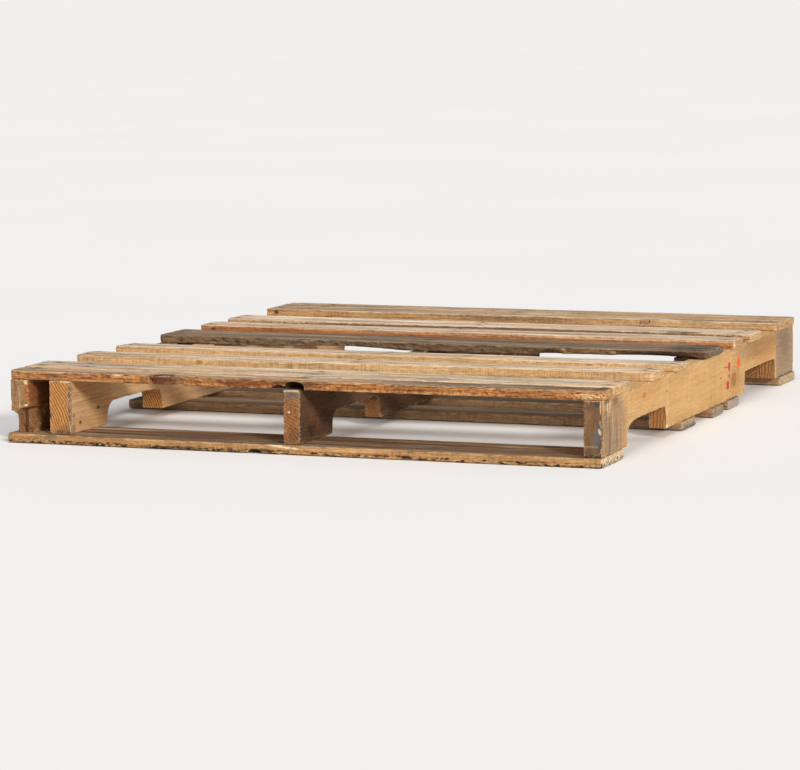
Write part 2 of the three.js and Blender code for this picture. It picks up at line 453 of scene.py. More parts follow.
def add_patches(s, colour, patches):
    """Stains, smudges and paint dashes: ragged ellipses, each on the face that looks its way.

    A patch is its middle's two places, its two radii, colour, amount, raggedness, softness and
    lean. The last two may be left out.
    """
    places = s.split(s.attribute("place", "Vector"))
    edges = s.layer("patch edges")
    for way, rows_of_way in patches.items():
        first, second = PATCH_AXES[s.look["grain"]][way]
        for a, b, radius_a, radius_b, tone, amount, ragged, *rest in rows_of_way:
            soft, lean = rest + PATCH_ENDING[len(rest):]
            da = s.multiply(s.add(places[first], -a * MM), 1 / (radius_a * MM))
            db = s.multiply(s.add(places[second], -b * MM), 1 / (radius_b * MM))
            reach = s.length(s.add(da, s.multiply(db, lean)), db)
            reach = s.add(reach, s.remap(edges, 0.3, 0.7, -ragged, ragged, smooth=False))
            cover = s.multiply(s.remap(reach, 1 - soft, 1 + soft, amount, 0), s.masks[way])
            colour = s.mix(cover, colour, tone)
    return colour


# A wood's look. ring is the spacing of its growth rings, of which early is the pale part and late
# the dark one, and end_late their colour on end grain. saw_lines gives spacing, lean and amount,
# and smear_scale the cells per metre of the smears where they differ from the layer's. The rest
# are colours, and amounts from 0 to about 1 of what their names say.
WOOD_DEFAULTS = dict(
    grain="x", ring=4.2, wander=3.2, ring_contrast=0.4,
    early=0xDEB884, late=0xAA703E, tint=0xBE8C56, tint_amount=0.5,
    end=0xCEA474, end_late=0x784E2C, end_amount=0.5, end_rings=0.6,
    contrast=0.2, fibre=0.24, grit=0.26, mottle=0.25, edge_grain=0.8,
    saw=0.5, saw_colour=0x784A28, saw_lines=(9, 0.4, 0),
    weather_up=0.8, weather_all=0.08, grey_light=0xCEBAA0, grey_dark=0x705C4A,
    dark_streaks=0.55, streak_colour=0x564234, light_streaks=0, light_colour=0xFCEED8,
    smear=0.5, smear_scale=None, smear_colour=0x80746A, mould=0,
    knot_colour=0x965C32, knot_core=0x462818, knot_halo=0.55,
    edge_dark=0.5, edge_colour=0x5C422C, edge_light=0.4, edge_light_colour=0xE8CEA6, relief=1,
)


def wood_material(name, changes, patches):
    """A piece's wood, from its changes to WOOD_DEFAULTS and its patches."""
    look = {**WOOD_DEFAULTS, **changes}
    s = WoodShader(name, look)
    rings = ring_pattern(s)
    colour = add_knots(s, wood_colour(s, rings))
    colour = add_grain(s, add_patches(s, colour, patches))

    edge, wear = s.attribute("edge"), s.layer("edge wear")
    worn = s.multiply(edge, s.remap(wear, 0.46, 0.62, 0, look["edge_light"]), clamp=True)
    colour = s.tint(colour, worn, "edge_light_colour")
    grime = s.multiply(edge, s.remap(wear, 0.5, 0.34, 0, look["edge_dark"]), clamp=True)
    colour = s.tint(colour, grime, "edge_colour")
    if look["mould"]:
        specks = s.layer("mould", 0.5, 0.56)
        mould = s.multiply(s.attribute("low"), specks, look["mould"], clamp=True)
        colour = s.mix(mould, colour, SHADE_AND_MARK_DARK)
    colour = s.mix(s.attribute("stain"), colour, RUST_STAIN)
    # Painted shade in the cracks and in the chips of the front edges.
    colour = s.mix(s.attribute("split"), colour, SHADE_AND_MARK_DARK)

    broad = s.layer("broad relief")
    height = s.add(
        s.multiply(s.layer("fine relief"), 0.35),
        s.multiply(broad, 0.8),
        s.multiply(s.layer("sawn relief"), 0.35),
        s.multiply(rings, -0.25),
    )
    return s.surface({
        "Base Color": colour,
        "Roughness": s.remap(broad, 0.3, 0.7, 0.7, 0.92),
        "Specular IOR Level": 0.28,
        "Normal": s.bump(height, 1.1 * look["relief"], 0.75),
    })


# ---------------------------------------------------------------- nails

NAIL_SIDES = 16
NAIL_LENGTH = 56
HEAD_RADIUS = 3.5
HEAD_SINK = 0.35
# The head's outline: radius as a share of its own, and depth below its top.
NAIL_PROFILE = [(0.45, 0.02), (0.82, 0.12), (1.0, 0.42), (0.98, 0.95), (0.7, 1.3)]
SHANK_RADIUS = 1.5
SHANK_RIBS = [2.0, 6.0, 14.0, 26.0, 40.0, NAIL_LENGTH - 4]


def nail_material():
    s = Shader("rusted_steel")
    place = s.coordinate("Object")
    coarse = s.noise(place, (420, 420, 420), 4.0, 0.65, 5.0)
    fine = s.noise(place, (1800, 1800, 1800), 3.0, 0.6, 9.0)
    colour = s.mix(s.remap(coarse, 0.35, 0.65), 0x342C28, 0x704226)
    return s.surface({
        "Base Color": s.mix(s.remap(fine, 0.5, 0.7, 0, 0.5), colour, 0x968474),
        "Metallic": 0.55,
        "Roughness": s.remap(coarse, 0.3, 0.7, 0.45, 0.8),
        "Normal": s.bump(fine, 0.25, 0.8),
    })


def nail_points(top, heads_up, rng):
    """One nail's points and faces, from the centre of its head's top."""
    head = HEAD_RADIUS * rng.uniform(0.93, 1.07)
    profile = [(r * head, d) for r, d in NAIL_PROFILE] + [(SHANK_RADIUS, d) for d in SHANK_RIBS]
    turns = np.arange(NAIL_SIDES) * 2 * math.pi / NAIL_SIDES
    dents = 1 + 0.05 * rng.standard_normal(NAIL_SIDES)
    points = [(0.0, 0.0, 0.0)]
    for radius, depth in profile:
        uneven = dents if radius > 2 * SHANK_RADIUS else 1.0
        ring = np.stack([radius * uneven * np.cos(turns), radius * uneven * np.sin(turns)], 1)
        points += [(x, y, -depth) for x, y in ring]
    points.append((0.0, 0.0, -NAIL_LENGTH))
    around = [(n, (n + 1) % NAIL_SIDES) for n in range(NAIL_SIDES)]
    faces = [(0, 1 + a, 1 + b) for a, b in around]
    for ring in range(len(profile) - 1):
        near, far = 1 + ring * NAIL_SIDES, 1 + (ring + 1) * NAIL_SIDES
        faces += [(near + a, far + a, far + b, near + b) for a, b in around]
    last, tip = 1 + (len(profile) - 1) * NAIL_SIDES, len(points) - 1
    faces += [(last + a, tip, last + b) for a, b in around]
    tilt = Matrix.Rotation(rng.uniform(-0.05, 0.05), 3, "X")
    tilt = tilt @ Matrix.Rotation(rng.uniform(-0.05, 0.05), 3, "Y")
    flip = Matrix.Identity(3) if heads_up else Matrix.Rotation(math.pi, 3, "X")
    return np.array(points) @ np.array(flip @ tilt).T + np.array(top), faces


# ---------------------------------------------------------------- boards

# In the shapes below, u runs along a piece, v across it and w through it, and a coordinate divided
# by a number gives noise with cells of that many millimetres.

# The spacing of a board's cuts along, across and through it, and by its bites, nails and cracks.
BOARD_STEPS = (5, 3.6, 2)
BITE_STEP, BITE_MARGIN = 0.9, 1.25
NAIL_ROWS = np.array([-12, -9, -6, -3.5, 0, 3.5, 6, 9, 12])
CRACK_ROWS = np.array([-2.4, -0.8, 0, 0.8, 2.4])

# How near a crack's line its bottom and its lips lie, and how it wanders and bends the grain.
CRACK_MIDDLE, CRACK_LIPS = 0.3, 1.2
CRACK_WANDER, CRACK_BEND = 3, 16

# The dent round a nail head, full inside its first radius, and the stain along and across.
DIMPLE_DEPTH, DIMPLE_RADIUS = 0.75, (5.5, 11)
STAIN_AMOUNT, STAIN_RADIUS = 0.75, (13, 5.5)

# How rough the edges are, and how far into a board its ragged edges and ends pull the wood.
EDGE_RIPPLE = 0.35
EDGE_REACH = 0.42
END_REACH = 12

# How uneven the faces are. The back and the bottom deck's boards are less so, by these shares.
SKIN_RELIEF = 0.3
BACK_RELIEF = 0.25
BOTTOM_DECK_WEAR = 0.8

# How far each piece's grain is moved on, so that no two look alike, how far it drifts sideways,
# and the knot distance of clear wood.
GRAIN_SHIFT = 370
GRAIN_DRIFT = 4
KNOT_FREE = 4.0

# Top deck boards lie above this height. Points this near a face lie on it. Mould grows on the
# lower share of a board's thickness.
DECK_HEIGHT = 50
FACE_DEPTH = 1e-3
BOARD_LOW = 0.55

# A board's shape. drop is how far its top lies low at the front left, front right, rear left and
# rear right corners, and pith where the pith runs across and above the board. Its rows hold:
#   rises   from, to, how high the underside curves up
#   bites   middle, half length, depth, half height of a chip in the front edge's lower arris
#   cracks  share of the width, from, to, depth, width
#   knots   place along, share of the width, the two radii
#   chips   share of the width, half width, depth of a chip in the right end
# nail_shares, where given, are the shares of the width at which the nails stand.
# A wane is an edge's missing chunks: depth, run, start, full, rag, and whether it is deeper below.
# A further key gives how strong the painted shade inside the bites is.
BOARD_SHAPE = dict(
    drop=(0, 0, 0, 0), rises=[], bites=[], bite_shade=0.9, cracks=[], knots=[], chips=[],
    front_wane=None, rear_wane=None, wear=1.6, wear_noise=1.0, end_wear=0, corner=5,
    thin=0.6, cup=0.5, bow=0.6, end_rag=0.8, pith=(40, -70),
)
WANE = dict(start=-0.1, full=0.35, rag=1.2, low=False)


def node_points(node):
    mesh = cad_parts[node].data
    points = np.zeros(len(mesh.vertices) * 3, np.float32)
    mesh.vertices.foreach_get("co", points)
    return points.reshape(-1, 3).astype(float) / MM


class BoardPlace:
    """A board's corners, from its CAD node: x runs along it and the ends may be skewed."""

    def __init__(self, node):
        points = node_points(node)
        (self.x0, _, self.z0), (self.x1, _, self.z1) = points.min(0), points.max(0)
        left = points[points[:, 0] < self.x0 + 4, 1]
        right = points[points[:, 0] > self.x1 - 4, 1]
        self.left_y, self.right_y = left.min(), right.min()
        self.width = (np.ptp(left) + np.ptp(right)) / 2
        self.length, self.thickness = self.x1 - self.x0, self.z1 - self.z0

    def front(self, x):
        return self.left_y + (self.right_y - self.left_y) * (x - self.x0) / self.length

    def to_world(self, u, v, w):
        x = self.x0 + u
        return np.stack([x, self.front(x) + v, self.z0 + w], 1)

    def to_local(self, x, y):
        return x - self.x0, y - self.front(x)


def board_grid(place, shape, nails):
    """Cuts along, across and through a board, finer at its arrises, nails, bites and cracks."""
    along = [u + NAIL_ROWS for u, v in nails]
    for middle, half_length, _, _ in shape["bites"]:
        reach = BITE_MARGIN * half_length
        along.append(spaced(middle - reach, middle + reach, BITE_STEP))
    across = [share * place.width + CRACK_ROWS for share, *_ in shape["cracks"]]
    size = (place.length, place.width, place.thickness)
    cuts = zip(size, BOARD_STEPS, (along, across, []))
    return Grid(*[rows(extent, step, *extra) for extent, step, extra in cuts])


def cut_cracks(u, v, width, face, shape, seed):
    """Opens the cracks: their middle row sinks from the face and its neighbours stand apart. The
    middle row also gets painted shade, returned as the third value.
    """
    sunk, spread, dark = np.zeros_like(u), np.zeros_like(u), np.zeros_like(u)
    for number, (share, start, stop, depth, gape) in enumerate(shape["cracks"]):
        fade = 0.25 * (stop - start)
        opening = smoothstep(start, start + fade, u) if start > 0 else np.ones_like(u)
        opening = opening * (1 - smoothstep(stop - fade, stop, u))
        opening = opening * (0.75 + 0.3 * value_noise(seed + 7 * number, u / 30))
        gap = v - share * width
        middle = (np.abs(gap) < CRACK_MIDDLE) & face
        beside = (np.abs(gap) >= CRACK_MIDDLE) & (np.abs(gap) < CRACK_LIPS) & face
        sunk += np.where(middle, opening * depth, 0)
        spread += np.where(beside, np.sign(gap) * (gape / 2 * opening - CRACK_MIDDLE), 0)
        wander = CRACK_WANDER * value_noise(seed + 3 + number, u / 90)
        spread += wander * np.exp(-((gap / CRACK_BEND) ** 2))
        # Painted shade at the bottom of the crack.
        dark = np.maximum(dark, np.where(middle, np.clip(opening * 1.6, 0, 1), 0))
    return sunk, spread, dark


def bite_depth(u, w, bites):
    """How far the front edge is eaten back at each point along it and through it."""
    depth = np.zeros_like(u)
    for middle, half_length, deepest, half_height in bites:
        reach = np.sqrt(((u - middle) / half_length) ** 2 + (w / half_height) ** 2)
        depth = np.maximum(depth, deepest * np.sqrt(np.clip(1 - reach**2, 0, None)))
    return depth


def wane_depth(u, w, thickness, changes, seed):
    """A bark edge: chunks missing from an edge, deeper towards its upper or lower side."""
    if not changes:
        return np.zeros_like(u)
    wane = {**WANE, **changes}
    chunks = smoothstep(wane["start"], wane["full"], rough_noise(seed, 3, u / wane["run"]))
    rag = 0.5 + 0.5 * rough_noise(seed + 9, 3, u / 9, w / 5)
    slope = 1 - w / thickness if wane["low"] else w / thickness
    return wane["depth"] * chunks * (0.35 + 0.65 * slope) + wane["rag"] * rag


def corner_blend(corners, along, across):
    """A value between those at the front left, front right, rear left and rear right corners."""
    front = corners[0] + (corners[1] - corners[0]) * along
    rear = corners[2] + (corners[3] - corners[2]) * along
    return front + (rear - front) * across


def risen(u, rises):
    """How far the underside curves up between the places where the board is nailed down."""
    height = np.zeros_like(u)
    for start, stop, most in rises:
        share = np.clip((u - start) / (stop - start), 0, 1)
        height += most * np.sin(math.pi * share) ** 1.2
    return height


def wood_coordinates(u, v, w, knots, pith, seed):
    """Coordinates for the rings and fibres, from the pith, with the grain bent round the knots."""
    bend, reach = np.zeros_like(v), np.full_like(u, KNOT_FREE)
    for at_u, at_v, radius_u, radius_v in knots:
        du, dv = (u - at_u) / radius_u, (v - at_v) / radius_v
        bend += -radius_v * 0.9 * dv * np.exp(-((du / 2.6) ** 2) - (dv / 2.2) ** 2)
        reach = np.minimum(reach, np.hypot(du, dv))
    drift = GRAIN_DRIFT * value_noise(seed, u / 350)
    return [u + seed * GRAIN_SHIFT, v + bend + drift - pith[0], w - pith[1]], reach


def add_wood(node, look, patches, points, faces, wood, place, **shares):
    """A wooden piece, with what its material reads at each point: coordinates, places and shares.

    knot is the distance in knot radii. edge, stain, split and low go from 0 to 1; split is painted
    shade in cracks and chips.
    """
    attributes = {"wood": np.stack(wood, 1) * MM, "place": np.stack(place, 1) * MM, **shares}
    material = wood_material("wood_" + node, look, patches)
    add_piece(node, "_wood", points, faces.tolist(), attributes, material)


def nail_marks(u, v, nails):
    """How much the nail heads dent the wood at each point, and how much their rust stains it."""
    dimple, stain = np.zeros_like(u), np.zeros_like(u)
    for nail_u, nail_v in nails:
        away = np.hypot(u - nail_u, v - nail_v)
        dimple = np.maximum(dimple, 1 - smoothstep(*DIMPLE_RADIUS, away))
        along, across = (u - nail_u) / STAIN_RADIUS[0], (v - nail_v) / STAIN_RADIUS[1]
        stain = np.maximum(stain, STAIN_AMOUNT * np.exp(-(along**2) - across**2))
    return dimple, stain


def build_board(node, changes, look, patches, heads):
    shape = {**BOARD_SHAPE, **changes}
    place, seed = BoardPlace(node), look["seed"]
    on_top = place.z0 > DECK_HEIGHT
    nails = [place.to_local(x, y) for x, y in heads]
    grid = board_grid(place, shape, nails)
    u, v, w = grid.u, grid.v, grid.w
    length, width, thickness = size = place.length, place.width, place.thickness
    knots = [(at, share * width, *radii) for at, share, *radii in shape["knots"]]
    wood, knot_reach = wood_coordinates(u, v, w, knots, shape["pith"], seed)

    face = (w > thickness - FACE_DEPTH) if on_top else (w < FACE_DEPTH)
    sunk, spread, dark = cut_cracks(u, v, width, face, shape, seed)
    dimple, stain = [np.where(face, mark, 0) for mark in nail_marks(u, v, nails)]

    # Worn arrises and corners.
    radius = shape["wear"] + shape["wear_noise"] * value_noise(seed + 1, u / 35, v / 50, w / 12)
    radius = radius + shape["end_wear"] * np.exp(-np.minimum(u, length - u) / 14)
    radius = np.clip(radius, 0.5, 0.45 * thickness)
    pu, pv, pw = rounded((u, v, w), size, radius)
    end, side = np.round(u / length) * 7.3, np.round(v / width) * 5.1
    corner = shape["corner"] * (1 + 0.5 * value_noise(seed + 2, end, side))
    pu, pv = rounded((pu, pv), size, corner, plan=True)

    # The front and rear edges.
    front = bite_depth(pu, pw, shape["bites"])
    # Painted shade inside the chips bitten out of the front edge.
    dark = np.maximum(dark, shape["bite_shade"] * smoothstep(1.5, 5, front) * (v < 1))
    front = front + wane_depth(pu, pw, thickness, shape["front_wane"], seed + 21)
    rear = wane_depth(pu, pw, thickness, shape["rear_wane"], seed + 33)
    ripple = EDGE_RIPPLE * (1 + rough_noise(seed + 4, 2, u / 24, w / 9))
    pv = pv + spread + (front + ripple) * fading(v, EDGE_REACH * width)
    pv = pv - (rear + ripple) * fading(width - v, EDGE_REACH * width)

    # The ends.
    rag = shape["end_rag"] * (1 + rough_noise(seed + 5, 3, v / 7, w / 4))
    for share, half_width, deepest in shape["chips"]:
        depth = deepest * np.exp(-(((v - share * width) / half_width) ** 2))
        depth = depth * (0.7 + 0.5 * value_noise(seed + 6, v / 4, w / 5))
        pu = pu - depth * fading(length - u, 6 * deepest)
    pu = pu + rag * fading(u, END_REACH) - rag * fading(length - u, END_REACH)
    pu, pv = np.clip(pu, 0, length), np.clip(pv, 0, width)

    # The faces.
    crown = shape["cup"] * (2 * v / width - 1) ** 2
    sag = shape["bow"] * (0.5 + 0.5 * value_noise(seed + 7, u / 300, v / 200))
    relief = SKIN_RELIEF * (1 + rough_noise(seed + 8, 3, u / 90, v / 9))
    lowered = (shape["thin"] + crown + sag + relief) * (1 - dimple) + DIMPLE_DEPTH * dimple + sunk
    upper = smoothstep(0.5, 1.0, w / thickness)
    lower = 1 - smoothstep(0.0, 0.5, w / thickness)
    if on_top:
        drop = corner_blend(shape["drop"], u / length, v / width)
        under = BACK_RELIEF * relief + risen(u, shape["rises"])
        pw = pw - upper * (lowered + drop) + lower * under
    else:
        pw = pw + lower * lowered * BOTTOM_DECK_WEAR - upper * BACK_RELIEF * relief

    add_wood(
        node, look, patches, place.to_world(pu, pv, pw), grid.faces, wood, (u, v, w),
        knot=knot_reach, edge=edge_share((u, v, w), size), stain=stain, split=dark,
        low=fading(w, BOARD_LOW * thickness),
    )


# ---------------------------------------------------------------- stringers

# The spacing of a stringer's cuts along, up and across it and round its notches.
STRINGER_STEPS = (4.5, 4.2, 3.2)
NOTCH_STEP = 2.5

# The shortest notch, how far above its edge it is rough, how far up mould can grow, and how far
# the ends' rag reaches in.
LEAST_NOTCH = 150
NOTCH_WEAR = 18
STRINGER_LOW = 30
FRONT_REACH, REAR_REACH = 30, 14

# A broken end: its finer cuts up and across, how far it reaches, its line's slope and roughness.
BREAK_ROWS = np.arange(26, 48)
BREAK_STEP = 1.2
BREAK_REACH = 130
BREAK_SLOPE = 0.06
BREAK_ROUGHNESS = 1.6

# A stringer's shape. notches holds each notch's front and rear corner radii, along it and up it,
# and pith where the pith runs up and across. Its rows hold:
#   knots       place along, place up, the two radii
#   notch_rag   from, to, extra roughness of the notches' edges
#   end_dents   place across and up, the two radii, lean and depth of a hollow in the front end
# A tear is where the first notch runs on: past what length, its height there, at its end, and rag.
STRINGER_SHAPE = dict(
    notches=[((22, 22), (22, 22)), ((22, 22), (22, 22))], wear=1.4, wear_noise=0.9,
    roughness=0.7, knots=[], pith=(-60, -40), tear=None, notch_rag=[], broken_end=None,
    end_dents=[], end_rag=0.8,
)


class StringerPlace:
    """A stringer's box and fork notches, from its CAD node: u runs along Y, v up, w along X."""

    def __init__(self, node):
        points = node_points(node)
        self.low, high = points.min(0), points.max(0)
        self.thickness, self.length, self.height = high - self.low
        w, u, v = (points - self.low).T
        feet = np.unique(np.round(u[v < 0.5], 1))
        spans = [(a, b) for a, b in zip(feet[:-1], feet[1:]) if b - a > LEAST_NOTCH]
        walled = (v > 5) & (v < 45)
        self.notches = [(a, b) for a, b in spans if np.any(walled & (u > a + 5) & (u < b - 5))]
        gap = np.minimum(w, self.thickness - w)
        eased = (gap > 1) & (gap < 3) & (v < self.height - 20)
        in_notch = np.any([(u > a + 2) & (u < b - 2) for a, b in self.notches], 0)
        self.roof = v[eased & in_notch].max()

    def to_world(self, u, v, w):
        return self.low + np.stack([w, u, v], 1)


def corner_curve(along, up):
    """A notch corner's quarter ellipse, from its wall to its roof, as shares of its two radii."""
    turns = np.linspace(0, math.pi / 2, max(4, round((along + up) / NOTCH_STEP)))
    return [(1 - math.cos(t), math.sin(t)) for t in turns]


def notch_outline(start, stop, roof, front, rear):
    """Points up the front wall of a notch, along its roof and down its rear wall.

    front and rear give each corner's radii along the notch and up it.
    """
    (fu, fz), (ru, rz) = front, rear
    points = [(start, z) for z in spaced(0, roof - fz, NOTCH_STEP)[:-1]]
    points += [(start + fu * a, roof - fz * (1 - b)) for a, b in corner_curve(fu, fz)]
    points += [(u, roof) for u in spaced(start + fu, stop - ru, NOTCH_STEP)[1:-1]]
    points += [(stop - ru * a, roof - rz * (1 - b)) for a, b in corner_curve(ru, rz)[::-1]]
    points += [(stop, z) for z in spaced(0, roof - rz, NOTCH_STEP)[-2::-1]]
    return np.array(points)


def torn_outline(plain, notch_stop, stop, tear):
    """The notch that runs on into a torn stretch with a rough, rising and falling grain line."""
    u, z = plain.T
    torn = smoothstep(notch_stop - 10, notch_stop + 16, u)
    share = np.clip((u - notch_stop) / (stop - notch_stop), 0, 1)
    line = tear["height"] + (tear["end"] - tear["height"]) * share
    rag = rough_noise(tear["seed"], 4, u / 22) * tear["rag"]
    z = np.minimum(z, z * (1 - torn) + (line + rag) * torn)
    return np.stack([u, np.maximum(z, 0)], 1)


def stringer_outline(place, shape):
    """The lower edge from end to end, and the place on the upper edge above each of its points."""
    bottom, top = [], []

    def add_foot(start, stop):
        step = spaced(start, stop, STRINGER_STEPS[0])
        foot = merged_places(start, stop, step, start + EDGE_ROWS, stop - EDGE_ROWS)
        bottom.append(np.stack([foot, np.zeros_like(foot)], 1))
        top.append(foot)

    at, tear = 0.0, shape["tear"]
    for (start, stop), (front, rear) in zip(place.notches, shape["notches"]):
        add_foot(at, start)
        notch = notch_outline(start, stop, place.roof, front, rear)
        if tear and stop - start > tear["notch"] + 50:
            notch = torn_outline(notch, start + tear["notch"], stop, tear)
        steps = np.hypot(*np.diff(notch, axis=0).T)
        share = np.concatenate([[0], np.cumsum(steps)]) / steps.sum()
        bottom.append(notch[1:-1])
        top.append((start + (stop - start) * share)[1:-1])
        at = stop
    add_foot(at, place.length)
    return np.concatenate(bottom), np.concatenate(top)


def break_end(u, grid, broken, thickness, seed):
    """The lower part of the front end, split off along a grain line.

    Its end face stops at an arris that leans outwards as it falls, and beyond the arris the
    fracture runs back along the stringer. Returns how far each point moves back and across.
    """
    line = np.interp(grid.w, *np.array(broken["line"]).T)
    line = line + 0.8 * value_noise(seed + 31, grid.w / 3) - BREAK_SLOPE * u
    under = 1 - smoothstep(-0.7, 0.7, grid.v - line)
    low, high = broken["arris"]
    arris = low + (high - low) * np.clip(grid.v / line, 0, 1)
    arris = arris + BREAK_ROUGHNESS * rough_noise(seed + 33, 2, grid.v / 7)
    back = broken["back"] + broken["slope"] * np.maximum(grid.w - arris, 0)
    back = back + BREAK_ROUGHNESS * rough_noise(seed + 32, 3, grid.v / 9, grid.w / 6)
    aside = broken["shift"] * fading(u, 2 * BREAK_REACH)
    return under * back * fading(u, BREAK_REACH), under * aside - aside * (grid.w / thickness)


def build_stringer(node, changes, look, patches):
    shape = {**STRINGER_SHAPE, **changes}
    place, seed = StringerPlace(node), look["seed"]
    length, height, thickness = size = place.length, place.height, place.thickness
    bottom, top = stringer_outline(place, shape)
    broken = shape["broken_end"]
    finer_up = [BREAK_ROWS] if broken else []
    finer_across = [spaced(0, thickness, BREAK_STEP)] if broken else []
    grid = Grid(
        np.arange(len(bottom), dtype=float),
        rows(height, STRINGER_STEPS[1], *finer_up),
        rows(thickness, STRINGER_STEPS[2], *finer_across),
    )
    (base_u, base_v), crest = bottom[grid.i].T, top[grid.i]
    u = along = base_u + (crest - base_u) * grid.v / height
    v = base_v + (height - base_v) * grid.v / height
    w = grid.w
    wood, knot_reach = wood_coordinates(u, v, w, shape["knots"], shape["pith"], seed)
    edge = edge_share((u, grid.v, w), size)

    # Worn arrises. The box is rounded first, and then lifted over the notches.
    radius = shape["wear"] + shape["wear_noise"] * value_noise(seed + 1, u / 30, v / 40, w / 20)
    radius = np.clip(radius, 0.4, 6)
    worn_u, worn_v, w = rounded((u, grid.v, w), size, radius)
    lift = (height - base_v) / height
    v = base_v + worn_v * lift
    u = np.where(np.minimum(u, length - u) < radius, worn_u, u)

    # Rough notch edges and uneven sides.
    amount = np.full_like(u, shape["roughness"])
    for start, stop, extra in shape["notch_rag"]:
        inside = smoothstep(start - 6, start, base_u) * (1 - smoothstep(stop, stop + 6, base_u))
        amount += extra * inside
    amount = amount * (base_v > 1) * fading(grid.v, NOTCH_WEAR)
    v = v + amount * rough_noise(seed + 2, 3, base_u / 11, base_v / 11, w / 9)
    u = u + amount * 0.7 * rough_noise(seed + 3, 3, base_v / 8, w / 9, base_u / 20)

    side = np.where(grid.w > thickness - FACE_DEPTH, 1.0, 0.0) - (grid.w < FACE_DEPTH)
    w = w - side * SKIN_RELIEF * (1 + rough_noise(seed + 4, 3, u / 80, v / 10, w / 20))

    # The ends.
    rag = shape["end_rag"] * (1 + rough_noise(seed + 5, 3, v / 8, w / 5))
    front_rag = rag
    for at_w, at_v, radius_w, radius_v, lean, depth in shape["end_dents"]:
        high = (grid.v - at_v) / radius_v
        wide = (grid.w - at_w) / radius_w + lean * high
        front_rag = front_rag + depth * smoothstep(1.15, 0.85, np.hypot(wide, high))
    u = u + front_rag * fading(u, FRONT_REACH) - rag * fading(length - u, REAR_REACH)
    if broken:
        back, aside = break_end(u, grid, broken, thickness, seed)
        u, w = u + back, w + aside
        along, wood[0] = along + back, wood[0] + back
    u, v, w = np.clip(u, 0, length), np.clip(v, 0, height), np.clip(w, 0, thickness)

    add_wood(
        node, look, patches, place.to_world(u, v, w), grid.faces, wood,
        (along, grid.v * lift + base_v, grid.w), knot=knot_reach, edge=edge,
        stain=np.zeros_like(u), split=np.zeros_like(u), low=fading(grid.v, STRINGER_LOW),
    )


# ---------------------------------------------------------------- the pieces' looks

# A dark brown for real dirt, and for painted shade on the top of the right half stringer's front
# end.
DIRT_AND_SHADE = 0x2E241E
BLUE_GREY = 0x6C6662
PALE_SPLINTER = 0xF4DCB2
ORANGE_PAINT = 0xF65C18
RED_PAINT = 0xCE3022

TAN_TOP = dict(
    early=0xF2C68C, late=0xCE965C, tint=0xDEAC70, grey_light=0xFCE8D0, grey_dark=0xB2987E,
    streak_colour=0x604E40, contrast=0.38, dark_streaks=0.75, light_streaks=0.55, smear=0.6,
    smear_colour=0x847466,
)
GREY_INSIDE = dict(
    early=0xBE9A70, late=0x8A6442, tint=0x967656, grey_light=0x96826C, grey_dark=0x58483A,
    weather_all=0.3, contrast=0.3,
)

